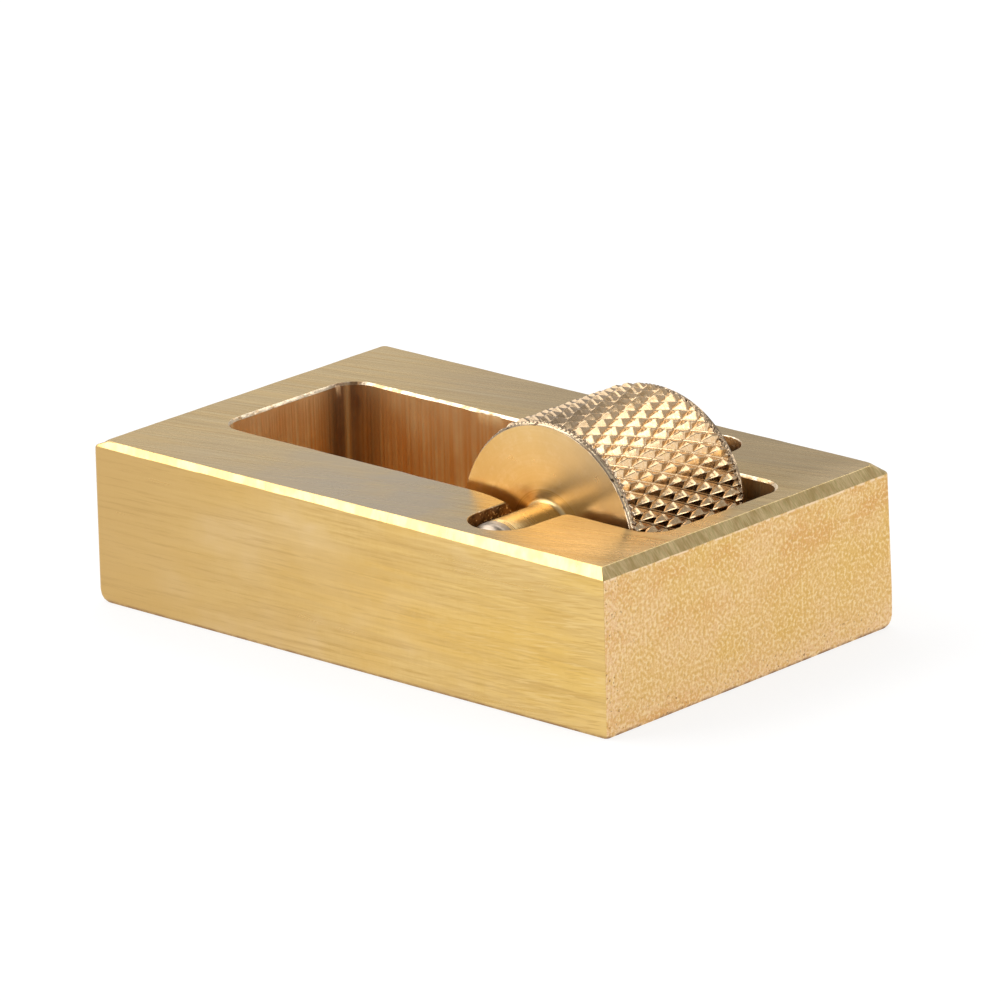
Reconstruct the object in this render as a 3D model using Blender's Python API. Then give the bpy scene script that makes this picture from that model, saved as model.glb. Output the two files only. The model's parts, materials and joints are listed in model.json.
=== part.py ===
"""Edge-colour roller box: a brass tray block that carries a knurled brass roller.

The tray block is one milled piece. A long pocket in its top holds the liquid, and a
round-ended slot on each side of the pocket takes one stub axle of the roller. The roller
is one turned piece: a wheel with a diamond knurl and a stub axle on each face. It lies in
the slots under its own weight and turns about +Y.

Frame: the origin is the centre of the block's base, +X runs along the block's length
towards the roller's end, +Y runs along the roller's axle and +Z points up.
"""

import math

import bmesh
import bpy

MM = 0.001

# Tray block
BLOCK_LENGTH = 60.0 * MM
BLOCK_WIDTH = 38.0 * MM
BLOCK_HEIGHT = 15.0 * MM
TOP_CHAMFER = 0.95 * MM
UPRIGHT_EDGE_RADIUS = 0.35 * MM
BASE_EDGE_BREAK = 0.25 * MM

# Opening milled into the block's top
MILLING_CENTRE_Y = -0.25 * MM
POCKET_CENTRE_X = 1.4 * MM
POCKET_LENGTH = 51.2 * MM
POCKET_WIDTH = 17.3 * MM
POCKET_CORNER_RADIUS = 2.5 * MM
POCKET_FLOOR_THICKNESS = 1.5 * MM
POCKET_FLOOR_BREAK = 0.3 * MM
OPENING_RIM_BREAK = 0.2 * MM

# Round-ended slots for the stub axles
AXLE_X = 13.7 * MM
SLOT_WIDTH = 6.4 * MM
SLOT_SPAN = 32.8 * MM
SLOT_DEPTH = 6.0 * MM
SLOT_MOUTH_RADIUS_TRAY_SIDE = 1.4 * MM
SLOT_MOUTH_RADIUS_END_SIDE = 0.8 * MM

# Roller
RESTING_GAP = 0.3 * MM
WHEEL_RADIUS = 10.1 * MM
WHEEL_WIDTH = 15.0 * MM
WHEEL_BEVEL_RADIAL = 0.45 * MM
WHEEL_BEVEL_AXIAL = 0.3 * MM
AXLE_RADIUS = 2.85 * MM
AXLE_SPAN = 31.2 * MM
AXLE_ROOT_FILLET = 0.4 * MM
AXLE_TIP_LENGTH = 1.6 * MM
AXLE_TIP_FLAT_RADIUS = 0.5 * MM

# Diamond knurl: raised four-sided pyramids, longer along the axle than around it
KNURLS_AROUND = 46
KNURL_HALF_PITCH_ALONG = 1.515 * MM
KNURL_FULL_ROWS = 4
KNURL_DEPTH = 0.42 * MM

# Facets of the round stretches
CORNER_STEPS = 6
SLOT_END_STEPS = 16
FILLET_STEPS = 3
TIP_STEPS = 4

BRASS_BLOCK_COLOUR = (0.68, 0.47, 0.20, 1.0)
BRASS_ROLLER_COLOUR = (0.72, 0.48, 0.23, 1.0)

AXLE_Z = BLOCK_HEIGHT - SLOT_DEPTH + RESTING_GAP + AXLE_RADIUS


def clear_scene():
    """Remove every object that is in the scene."""
    for scene_object in list(bpy.data.objects):
        bpy.data.objects.remove(scene_object, do_unlink=True)


def brass(name, colour, roughness):
    """Return a plain brass material."""
    material = bpy.data.materials.new(name)
    material.use_nodes = True
    shader = material.node_tree.nodes["Principled BSDF"]
    shader.inputs["Base Color"].default_value = colour
    shader.inputs["Roughness"].default_value = roughness
    shader.inputs["Metallic"].default_value = 1.0
    return material


def arc(centre_x, centre_y, radius, start_deg, end_deg, steps):
    """Return the points of an arc, from its start angle to its end angle."""
    points = []
    for step in range(steps + 1):
        angle = math.radians(start_deg + (end_deg - start_deg) * step / steps)
        x = centre_x + radius * math.cos(angle)
        y = centre_y + radius * math.sin(angle)
        points.append((x, y))
    return points


def mirrored_side(side_arcs):
    """Return the far side's arcs: the near side's, mirrored in Y and run backwards."""
    mirrored = []
    for centre_x, offset_y, radius, start_deg, end_deg, steps in reversed(side_arcs):
        mirrored.append((centre_x, -offset_y, radius, -end_deg, -start_deg, steps))
    return mirrored


def opening_arcs(grow):
    """Return the arcs round the pocket with its two slots, widened by `grow`.

    Each arc holds its centre's X, its centre's Y from the middle of the opening, its
    radius, its start and end angles and its steps. They run anticlockwise, first along
    the near side and then back along the far side, with straight walls between them.
    """
    left = POCKET_CENTRE_X - POCKET_LENGTH / 2
    right = POCKET_CENTRE_X + POCKET_LENGTH / 2
    near = -POCKET_WIDTH / 2
    slot_left = AXLE_X - SLOT_WIDTH / 2
    slot_right = AXLE_X + SLOT_WIDTH / 2
    corner = POCKET_CORNER_RADIUS
    mouth_left = SLOT_MOUTH_RADIUS_TRAY_SIDE
    mouth_right = SLOT_MOUTH_RADIUS_END_SIDE
    slot_end_y = -SLOT_SPAN / 2 + SLOT_WIDTH / 2
    near_side = [
        (left + corner, near + corner, corner + grow, 180, 270, CORNER_STEPS),
        (slot_left - mouth_left, near - mouth_left, mouth_left - grow, 90, 0, CORNER_STEPS),
        (AXLE_X, slot_end_y, SLOT_WIDTH / 2 + grow, 180, 360, SLOT_END_STEPS),
        (slot_right + mouth_right, near - mouth_right, mouth_right - grow, 180, 90, CORNER_STEPS),
        (right - corner, near + corner, corner + grow, 270, 360, CORNER_STEPS),
    ]
    return near_side + mirrored_side(near_side)


def opening_outline(grow):
    """Return the opening's outline as one list of points for each of its ten arcs."""
    outline = []
    for centre_x, offset_y, radius, start_deg, end_deg, steps in opening_arcs(grow):
        centre_y = MILLING_CENTRE_Y + offset_y
        outline.append(arc(centre_x, centre_y, radius, start_deg, end_deg, steps))
    return outline


def block_outline(inset, corner_radius):
    """Return the block's outer outline, moved inwards by `inset`."""
    half_length = BLOCK_LENGTH / 2 - inset
    half_width = BLOCK_WIDTH / 2 - inset
    points = []
    for index, (sign_x, sign_y) in enumerate(((-1, -1), (1, -1), (1, 1), (-1, 1))):
        centre_x = sign_x * (half_length - corner_radius)
        centre_y = sign_y * (half_width - corner_radius)
        start_deg = 180 + 90 * index
        points += arc(centre_x, centre_y, corner_radius, start_deg, start_deg + 90, 2)
    return points


def add_ring(mesh, points, height):
    """Add one vertex for each point, at the given height."""
    return [mesh.verts.new((x, y, height)) for x, y in points]


def join_rings(mesh, lower, upper):
    """Close the wall between two rings that have the same number of vertices."""
    count = len(lower)
    for index in range(count):
        following = (index + 1) % count
        mesh.faces.new((lower[index], lower[following], upper[following], upper[index]))


def flat_list(groups):
    """Join a list of lists into one list."""
    return [item for group in groups for item in group]


def fill_between(mesh, outer_ring, inner_ring):
    """Fill the flat area between an outer ring and the hole inside it."""
    edges = []
    for ring in (outer_ring, inner_ring):
        for index, vertex in enumerate(ring):
            edges.append(mesh.edges.get((vertex, ring[(index + 1) % len(ring)])))
    bmesh.ops.triangle_fill(mesh, use_beauty=True, use_dissolve=False, edges=edges)


def finish_mesh(mesh, name, material, location, smooth_angle_deg):
    """Turn a bmesh into a named object with its faces pointing out."""
    bmesh.ops.triangulate(mesh, faces=[face for face in mesh.faces if len(face.verts) > 3])
    bmesh.ops.recalc_face_normals(mesh, faces=mesh.faces)
    data = bpy.data.meshes.new(name)
    mesh.to_mesh(data)
    mesh.free()
    data.materials.append(material)
    data.shade_smooth()
    data.set_sharp_from_angle(angle=math.radians(smooth_angle_deg))
    piece = bpy.data.objects.new(name, data)
    piece.location = location
    bpy.context.scene.collection.objects.link(piece)
    return piece


def make_tray_block(material):
    """Make the block: chamfered outside, pocket and slots open at the top."""
    mesh = bmesh.new()

    # Outside, from the base up to the top face
    chamfer_foot = BLOCK_HEIGHT - TOP_CHAMFER
    base = add_ring(mesh, block_outline(BASE_EDGE_BREAK, UPRIGHT_EDGE_RADIUS), 0.0)
    side_foot = add_ring(mesh, block_outline(0.0, UPRIGHT_EDGE_RADIUS), BASE_EDGE_BREAK)
    side_head = add_ring(mesh, block_outline(0.0, UPRIGHT_EDGE_RADIUS), chamfer_foot)
    top = add_ring(mesh, block_outline(TOP_CHAMFER, UPRIGHT_EDGE_RADIUS), BLOCK_HEIGHT)
    mesh.faces.new(base)
    join_rings(mesh, base, side_foot)
    join_rings(mesh, side_foot, side_head)
    join_rings(mesh, side_head, top)

    # Opening, from its broken rim down to the floor of the slots
    rim_points = flat_list(opening_outline(OPENING_RIM_BREAK))
    wall_arcs = opening_outline(0.0)
    slot_floor_height = BLOCK_HEIGHT - SLOT_DEPTH
    rim = add_ring(mesh, rim_points, BLOCK_HEIGHT)
    wall_head = add_ring(mesh, flat_list(wall_arcs), BLOCK_HEIGHT - OPENING_RIM_BREAK)
    slot_level = [add_ring(mesh, points, slot_floor_height) for points in wall_arcs]
    join_rings(mesh, wall_head, rim)
    join_rings(mesh, flat_list(slot_level), wall_head)

    # Floors of the two slots, each bounded by its mouth, its round end and the pocket
    for mouth_in, round_end, mouth_out in (slot_level[1:4], slot_level[6:9]):
        mesh.faces.new(mouth_in + round_end + mouth_out)

    # Pocket below the slots: its corners, and straight walls that pass under the slots
    pocket_ring = (
        slot_level[0]
        + [slot_level[1][0], slot_level[3][-1]]
        + slot_level[4]
        + slot_level[5]
        + [slot_level[6][0], slot_level[8][-1]]
        + slot_level[9]
    )
    floor_height = POCKET_FLOOR_THICKNESS
    wall_points = [(vertex.co.x, vertex.co.y) for vertex in pocket_ring]
    wall_foot = add_ring(mesh, wall_points, floor_height + POCKET_FLOOR_BREAK)
    floor_points = [pocket_floor_point(x, y) for x, y in wall_points]
    floor = add_ring(mesh, floor_points, floor_height)
    join_rings(mesh, wall_foot, pocket_ring)
    join_rings(mesh, floor, wall_foot)
    mesh.faces.new(floor)

    fill_between(mesh, top, rim)
    return finish_mesh(mesh, "tray_block", material, (0.0, 0.0, 0.0), 30)


def pocket_floor_point(x, y):
    """Return the floor's point below a wall's point, in from it by the floor break."""
    straight_half_length = POCKET_LENGTH / 2 - POCKET_CORNER_RADIUS
    straight_half_width = POCKET_WIDTH / 2 - POCKET_CORNER_RADIUS
    from_x = x - POCKET_CENTRE_X
    from_y = y - MILLING_CENTRE_Y
    centre_x = max(-straight_half_length, min(straight_half_length, from_x))
    centre_y = max(-straight_half_width, min(straight_half_width, from_y))
    distance = math.hypot(from_x - centre_x, from_y - centre_y)
    keep = (distance - POCKET_FLOOR_BREAK) / distance
    floor_x = POCKET_CENTRE_X + centre_x + (from_x - centre_x) * keep
    floor_y = MILLING_CENTRE_Y + centre_y + (from_y - centre_y) * keep
    return floor_x, floor_y


def turned_ring(mesh, along, radii):
    """Add a ring about the axle: one vertex for each radius, evenly spaced in angle."""
    ring = []
    for index, radius in enumerate(radii):
        angle = 2 * math.pi * index / len(radii)
        ring.append(mesh.verts.new((radius * math.sin(angle), along, radius * math.cos(angle))))
    return ring


def knurl_radius(column, row_above, share):
    """Return the wheel's radius between one knurl row and the next.

    Columns and rows are half a pitch apart. Where their sum is even a pyramid has its
    crest, and where it is odd two grooves cross. `share` is how far the point lies from
    `row_above` towards the row after it.
    """
    lift_here = 1.0 if (column + row_above) % 2 == 0 else 0.0
    lift_next = 1.0 - lift_here
    lift = lift_here * (1.0 - share) + lift_next * share
    return WHEEL_RADIUS - KNURL_DEPTH * (1.0 - lift)


def knurl_rows(mesh):
    """Add the knurl's rows of vertices, from the near bevel to the far one."""
    columns = 2 * KNURLS_AROUND
    edge = WHEEL_WIDTH / 2 - WHEEL_BEVEL_AXIAL
    edge_share = edge / KNURL_HALF_PITCH_ALONG - KNURL_FULL_ROWS
    rows = []
    near_radii = [knurl_radius(column, -KNURL_FULL_ROWS, edge_share) for column in range(columns)]
    rows.append((-KNURL_FULL_ROWS - 1, turned_ring(mesh, -edge, near_radii)))
    for row in range(-KNURL_FULL_ROWS, KNURL_FULL_ROWS + 1):
        radii = [knurl_radius(column, row, 0.0) for column in range(columns)]
        rows.append((row, turned_ring(mesh, row * KNURL_HALF_PITCH_ALONG, radii)))
    far_radii = [knurl_radius(column, KNURL_FULL_ROWS, edge_share) for column in range(columns)]
    rows.append((KNURL_FULL_ROWS + 1, turned_ring(mesh, edge, far_radii)))
    return rows


def join_knurl_rows(mesh, rows):
    """Close the pyramids' facets: each cell is split along the groove that crosses it."""
    for (row, ring), (_, next_ring) in zip(rows, rows[1:]):
        count = len(ring)
        for column in range(count):
            following = (column + 1) % count
            here, beside = ring[column], ring[following]
            ahead, across = next_ring[column], next_ring[following]
            if (column + row) % 2 == 0:
                mesh.faces.new((here, beside, ahead))
                mesh.faces.new((beside, across, ahead))
            else:
                mesh.faces.new((here, beside, across))
                mesh.faces.new((here, across, ahead))


def axle_profile():
    """Return (distance from the wheel's middle, radius) pairs from the face to the tip."""
    face = WHEEL_WIDTH / 2
    fillet = AXLE_ROOT_FILLET
    profile = []
    for step in range(FILLET_STEPS + 1):
        angle = math.pi / 2 * step / FILLET_STEPS
        along = face + fillet * (1 - math.cos(angle))
        radius = AXLE_RADIUS + fillet * (1 - math.sin(angle))
        profile.append((along, radius))
    dome_start = AXLE_SPAN / 2 - AXLE_TIP_LENGTH
    for step in range(TIP_STEPS + 1):
        share = step / TIP_STEPS
        radius = AXLE_RADIUS + (AXLE_TIP_FLAT_RADIUS - AXLE_RADIUS) * (1 - math.cos(math.pi / 2 * share))
        along = dome_start + AXLE_TIP_LENGTH * math.sin(math.pi / 2 * share)
        profile.append((along, radius))
    return profile


def add_wheel_end(mesh, knurl_edge, side):
    """Close one end of the wheel: bevel, flat face, fillet, stub axle and domed tip."""
    columns = len(knurl_edge)
    axle_columns = columns // 2
    face_radius = WHEEL_RADIUS - WHEEL_BEVEL_RADIAL
    face_ring = turned_ring(mesh, side * WHEEL_WIDTH / 2, [face_radius] * columns)
    join_rings(mesh, knurl_edge, face_ring)

    axle_rings = []
    for along, radius in axle_profile():
        axle_rings.append(turned_ring(mesh, side * along, [radius] * axle_columns))
    root = axle_rings[0]
    for index, vertex in enumerate(root):
        following = root[(index + 1) % axle_columns]
        first = face_ring[2 * index]
        second = face_ring[2 * index + 1]
        third = face_ring[(2 * index + 2) % columns]
        mesh.faces.new((first, second, vertex))
        mesh.faces.new((second, following, vertex))
        mesh.faces.new((second, third, following))
    for ring, next_ring in zip(axle_rings, axle_rings[1:]):
        join_rings(mesh, ring, next_ring)
    mesh.faces.new(axle_rings[-1])


def make_knurled_roller(material):
    """Make the roller, with its origin in the middle of the axle."""
    mesh = bmesh.new()
    rows = knurl_rows(mesh)
    join_knurl_rows(mesh, rows)
    add_wheel_end(mesh, rows[0][1], -1)
    add_wheel_end(mesh, rows[-1][1], 1)
    location = (AXLE_X, MILLING_CENTRE_Y, AXLE_Z)
    return finish_mesh(mesh, "knurled_roller", material, location, 25)


def main():
    """Build the two pieces."""
    clear_scene()
    make_tray_block(brass("brass_block", BRASS_BLOCK_COLOUR, 0.35))
    make_knurled_roller(brass("brass_roller", BRASS_ROLLER_COLOUR, 0.25))


main()
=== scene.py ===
"""Looks of the brass edge-colour roller box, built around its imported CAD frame.

Two finely made pieces stand for the two CAD nodes: the milled and hand-finished tray
block, and the turned roller with its diamond knurl. Both are meshed in metres where they
stand at rest, and take their places from the frame. Their brass is procedural throughout.
"""

import json
import math

import bmesh
import bpy
from mathutils import Matrix, Vector, noise
from mathutils.geometry import tessellate_polygon


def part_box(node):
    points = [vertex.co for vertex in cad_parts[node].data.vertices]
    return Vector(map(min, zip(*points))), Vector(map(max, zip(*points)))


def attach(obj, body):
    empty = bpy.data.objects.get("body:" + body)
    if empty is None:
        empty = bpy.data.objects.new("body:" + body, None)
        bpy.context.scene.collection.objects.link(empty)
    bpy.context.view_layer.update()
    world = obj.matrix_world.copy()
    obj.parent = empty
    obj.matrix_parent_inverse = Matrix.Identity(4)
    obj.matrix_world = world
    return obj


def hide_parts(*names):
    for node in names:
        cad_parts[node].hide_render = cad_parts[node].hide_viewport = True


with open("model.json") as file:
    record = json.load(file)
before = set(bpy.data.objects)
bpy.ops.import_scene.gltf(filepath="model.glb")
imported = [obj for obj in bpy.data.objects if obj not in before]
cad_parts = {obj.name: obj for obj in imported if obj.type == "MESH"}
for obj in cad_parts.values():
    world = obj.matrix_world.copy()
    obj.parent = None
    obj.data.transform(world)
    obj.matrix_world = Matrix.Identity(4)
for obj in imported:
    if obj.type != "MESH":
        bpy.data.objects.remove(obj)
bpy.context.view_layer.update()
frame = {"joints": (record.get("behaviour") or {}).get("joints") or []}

MM = 0.001

# Places and main sizes, from the frame
BLOCK_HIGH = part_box("tray_block")[1]
ROLLER_LOW, ROLLER_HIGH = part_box("knurled_roller")
AXLE_CENTRE = Vector(frame["joints"][0]["pos_m"])
HALF_LENGTH = BLOCK_HIGH.x
HALF_WIDTH = BLOCK_HIGH.y
BLOCK_TOP = BLOCK_HIGH.z
WHEEL_RADIUS = ROLLER_HIGH.z - AXLE_CENTRE.z
AXLE_HALF_SPAN = (ROLLER_HIGH.y - ROLLER_LOW.y) / 2

# Hand-filed chamfers round the top, one width for each side
CHAMFER_NEAR = 0.86 * MM
CHAMFER_FAR = 1.08 * MM
CHAMFER_LEFT = 1.02 * MM
CHAMFER_RIGHT = 0.88 * MM
CHAMFER_NEAR_TAPER = 0.32 * MM
CHAMFER_TAPER_END = 0.3
CHAMFER_WANDER = 0.045 * MM
CHAMFER_WAVE = 4.1 * MM
CHAMFER_RIPPLE = 1.3 * MM
CHAMFER_EDGE_ROUND = 0.05 * MM
CHAMFER_EDGE_SAG = 0.12

# Upright edges, anticlockwise from the near left one, and how finely the outline is drawn
UPRIGHT_RADII = (0.4 * MM, 0.12 * MM, 0.12 * MM, 0.3 * MM)
UPRIGHT_RADII_AT_TOP = (0.45 * MM, 0.12 * MM, 0.8 * MM, 0.45 * MM)
UPRIGHT_TAPER_START = 3.5 * MM
CORNER_RUBBING = 4.0
CORNER_RUBBED_REACH = 1.6 * MM
CORNER_STEPS = 6
SIDE_STEPS = (60, 38, 60, 38)

# Dubbed edges of the base: (height, share of the dubbing that is left there)
BASE_DUBBING = ((0.0, 1.0), (0.25 * MM, 0.62), (0.6 * MM, 0.25), (1.1 * MM, 0.0))
BASE_INSET = 0.16 * MM
BASE_RADII_MORE = (0.75 * MM, 0.25 * MM, 0.8 * MM, 0.6 * MM)

# Opening in the top, with slots a little narrower and shallower than the CAD's
POCKET_LEFT = -24.2 * MM
POCKET_RIGHT = 27.0 * MM
POCKET_HALF_WIDTH = 8.65 * MM
POCKET_CORNER_RADIUS = 2.5 * MM
POCKET_FLOOR = 1.5 * MM
POCKET_FLOOR_ROUND = 0.3 * MM
POCKET_FLOOR_STEPS = 4
SLOT_LEFT_REACH = 2.8 * MM
SLOT_RIGHT_REACH = 3.2 * MM
SLOT_HALF_SPAN = 16.4 * MM
SLOT_FLOOR = 9.26 * MM
MOUTH_RADIUS_LEFT = 0.25 * MM
MOUTH_BREAK = 1.03 * MM
MOUTH_DROP = 1.24 * MM
MOUTH_SLANT = 0.04 * MM
MOUTH_FILED_REACH = 2.6 * MM
FILED_CORNER_STEPS = 6
FILED_WALL_STEPS = 14
MOUTH_RADIUS_RIGHT = 0.9 * MM
POCKET_CORNER_STEPS = 16
SLOT_END_STEPS = 40
MOUTH_STEPS = 12
RIM_BREAK_POCKET = 0.25 * MM
RIM_BREAK_SLOT = 0.07 * MM
RIM_BREAK_MOUTH_RIGHT = 0.2 * MM
RIM_BREAK_FADE = 4.8 * MM
RIM_BREAK_STEEPNESS = 0.8
RIM_WANDER = 0.07 * MM
RIM_WAVE = 2.3 * MM
RIM_RIPPLE = 0.8 * MM
RIM_FOOT_WAVE = 1.7 * MM
RIM_ROUND = 0.03 * MM
WALL_STEP = 0.5 * MM
BLOCK_SMOOTH_ANGLE = 38
WALL_HEAD_DROP = 1.4 * MM

# Wheel and its diamond knurl
WHEEL_HALF_WIDTH = 7.5 * MM
BEVEL_RADIAL = 0.47 * MM
BEVEL_AXIAL = 0.85 * MM
BEVEL_ROWS = 20
BEVEL_LINES = 4
BEVEL_LINE_DEPTH = 0.065 * MM
TEETH_PER_KNURL = 3
TOOTH_DEPTH = 0.2 * MM
KNURLS_AROUND = 46
KNURL_HALF_PITCH = 1.515 * MM
KNURL_DEPTH = 0.43 * MM
KNURL_STEPS = 8
KNURL_UNEVENNESS = 0.035
KNURL_TOP = 0.985
LEVEL_GROOVE_BOTTOM = 0.06
STEEP_GROOVE_BOTTOM = 0.0
LEVEL_CREST_START = 0.875
STEEP_CREST_START = 0.75
LEVEL_GROOVE_RIDGE = 0.18

# Wheel's faces, which dish in a little: (depth, radius) on the way in to the hub
FACE_EDGE_BREAK = 0.04 * MM
FACE_STEPS = (
    (0.004 * MM, 7.0 * MM),
    (0.004 * MM, 4.6 * MM),
    (0.004 * MM, 3.9 * MM),
    (0.007 * MM, 3.3 * MM),
)
HUB_DEPTH = 0.01 * MM
HUB_STEPS = 8

# Stub axles; a line's shape is (share of the pitch, share of the depth)
AXLE_RADIUS = 2.75 * MM
AXLE_RING_REACHES = (1.2 * MM, 3.0 * MM)
ROOT_FILLET = 0.42 * MM
DOME_LENGTH = 1.15 * MM
TIP_FLAT_RADIUS = 0.8 * MM
TIP_LINES = 6
TIP_LINES_START = 5.8 * MM
TIP_LINE_PITCH = 0.2 * MM
TIP_LINE_DEPTH = 0.03 * MM
TIP_LINE_SHAPE = ((0.0, 0.0), (0.3, 0.3), (0.45, 1.0), (0.7, 0.3))
DOME_STEPS = 14
AXLE_STEPS = 128
ROLLER_SMOOTH_ANGLE = 24

# Places of marks on the brass, and of painted reflection and shade, in millimetres
FILM_CENTRE = (1.0, -15.0, 15.0)
# Centre of the painted reflection of the wheel on the top
REFLECTION_CENTRE = (25.0, -17.0, 15.0)
# Painted shade in the pocket's far left corner, standing for dark reflections there: where it is full,
# where it fades, its lighter middle line and its reaches
SHADED_CORNER = (-21.8, 5.8)
SHADED_CORNER_FADE = (-23.4, 7.2)
SHADED_CORNER_LIT_LINE = -16.5
CORNER_SHADE_REACH_ON_RIM = 3.0
CORNER_SHADE_REACH_ON_WALL = 4.8

# Camera: azimuth from +X, elevation and roll in degrees
CAMERA_AIM = Vector((0.68, 0.62, 10.41)) * MM
CAMERA_DISTANCE = 729.9 * MM
CAMERA_AZIMUTH = -47.70
CAMERA_ELEVATION = 17.90
CAMERA_ROLL = -1.377
CAMERA_LENS = 298.8
SENSOR_WIDTH = 36.0

# Studio: how bright its parts look, where 1 shows as white
HORIZON_RADIANCE = 0.5
OVERHEAD_RADIANCE = 0.34
FLOOR_ALBEDO = 0.28
FLOOR_GLOW = 0.78


def direction(azimuth, elevation):
    """Return the unit vector at an azimuth from +X and an elevation, in degrees."""
    flat = math.cos(math.radians(elevation))
    turn = math.radians(azimuth)
    return Vector((flat * math.cos(turn), flat * math.sin(turn), math.sin(math.radians(elevation))))


def wander(position, spacing, seed):
    """Return a smooth value from about -1 to 1 that changes over `spacing` metres."""
    return noise.noise(Vector((position / spacing, seed * 7.31, seed * 1.93)))


# ---------------------------------------------------------------- mesh building


class Shell:
    """Collects the vertices and faces of one piece, each face with its material's index."""

    def __init__(self):
        self.vertices = []
        self.faces = []
        self.looks = []
        self.flat_looks = ()

    def face(self, corners, look):
        """Add one face."""
        self.faces.append(tuple(corners))
        self.looks.append(look)

    def bridge_folded(self, ring, next_ring, look, heights, next_heights):
        """Join two rings by triangles, each quad folded along its more level diagonal."""
        count = len(ring)
        for index in range(count):
            following = (index + 1) % count
            a, b = ring[index], ring[following]
            c, d = next_ring[following], next_ring[index]
            rise = abs(heights[index] - next_heights[following])
            other_rise = abs(heights[following] - next_heights[index])
            if rise < other_rise:
                self.face((a, b, c), look)
                self.face((a, c, d), look)
            else:
                self.face((a, b, d), look)
                self.face((b, c, d), look)

    def ring(self, points):
        """Add a closed ring of points and return its vertex indices."""
        first = len(self.vertices)
        self.vertices.extend(points)
        return list(range(first, len(self.vertices)))

    def bridge(self, ring, next_ring, looks):
        """Join two rings by quads. `looks` is one index, or one for each quad."""
        count = len(ring)
        for index in range(count):
            following = (index + 1) % count
            self.faces.append((ring[index], ring[following], next_ring[following], next_ring[index]))
            self.looks.append(looks if isinstance(looks, int) else looks[index])

    def fill(self, outline, look, holes=()):
        """Fill a flat outline, less its holes, with triangles."""
        loops = [outline, *holes]
        flat = [index for loop in loops for index in loop]
        corners = [[Vector(self.vertices[index]) for index in loop] for loop in loops]
        for a, b, c in tessellate_polygon(corners):
            self.faces.append((flat[a], flat[b], flat[c]))
            self.looks.append(look)

    def make_object(self, name, materials, smooth_angle):
        """Return the piece as an object with its faces pointing out."""
        data = bpy.data.meshes.new(name)
        data.from_pydata(self.vertices, [], self.faces)
        for material in materials:
            data.materials.append(material)
        data.polygons.foreach_set("material_index", self.looks)
        mesh = bmesh.new()
        mesh.from_mesh(data)
        bmesh.ops.recalc_face_normals(mesh, faces=mesh.faces)
        mesh.to_mesh(data)
        mesh.free()
        data.polygons.foreach_set("use_smooth", [look not in self.flat_looks for look in self.looks])
        data.set_sharp_from_angle(angle=math.radians(smooth_angle))
        self.sharpen_flat_borders(data)
        piece = bpy.data.objects.new(name, data)
        bpy.context.scene.collection.objects.link(piece)
        return piece

    def sharpen_flat_borders(self, data):
        """Mark the edges round the flat faces as sharp, so that no shading runs into them."""
        kinds = {}
        for polygon in data.polygons:
            for key in polygon.edge_keys:
                kinds.setdefault(key, set()).add(self.looks[polygon.index] in self.flat_looks)
        for edge in data.edges:
            if len(kinds[edge.key]) == 2:
                edge.use_edge_sharp = True


def weight_normals(piece):
    """Keep the large flat faces flat where they meet the small rounded edges."""
    modifier = piece.modifiers.new("weighted normals", "WEIGHTED_NORMAL")
    modifier.mode = "FACE_AREA"
    modifier.weight = 100
    modifier.keep_sharp = True


# ---------------------------------------------------------------- tray block's shape

TOP, LONG_SIDE, END, LONG_CHAMFER, END_CHAMFER, RIM, WALL, SLOT_WALL, FLOOR, BASE = range(10)


def block_outline(corner_radii):
    """Return the block's outline as (x, y) points, anticlockwise from the near left corner."""
    corners = []
    for index, (sign_x, sign_y) in enumerate(((-1, -1), (1, -1), (1, 1), (-1, 1))):
        radius = corner_radii[index]
        centre = Vector((sign_x * (HALF_LENGTH - radius), sign_y * (HALF_WIDTH - radius)))
        arc = []
        for step in range(CORNER_STEPS + 1):
            angle = math.radians(180 + 90 * index + 90 * step / CORNER_STEPS)
            arc.append(centre + radius * Vector((math.cos(angle), math.sin(angle))))
        corners.append(arc)
    points = []
    for index, (arc, count) in enumerate(zip(corners, SIDE_STEPS)):
        following = corners[(index + 1) % 4][0]
        points += arc
        points += [arc[-1].lerp(following, step / count) for step in range(1, count)]
    return points


def chamfer_widths(x, y):
    """Return how far the chamfer reaches in along X and along Y at an outline's point."""
    along_x = CHAMFER_RIGHT if x > 0 else CHAMFER_LEFT
    if y > 0:
        along_y = CHAMFER_FAR
    else:
        share = (x + HALF_LENGTH) / (2 * HALF_LENGTH)
        widening = max(0.0, (share - CHAMFER_TAPER_END) / (1 - CHAMFER_TAPER_END))
        along_y = CHAMFER_NEAR - CHAMFER_NEAR_TAPER * (1 - widening)
    return along_x, along_y


def corner_rubbing(x, y):
    """Return how much rounder the chamfer's edges are where the block's corners are rubbed."""
    corner_distance = (Vector((HALF_LENGTH, HALF_WIDTH)) - Vector((abs(x), abs(y)))).length
    nearness = max(0.0, 1 - corner_distance / CORNER_RUBBED_REACH)
    rubbed = x * y > 0
    return 1 + CORNER_RUBBING * nearness * nearness if rubbed else 1.0


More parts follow.
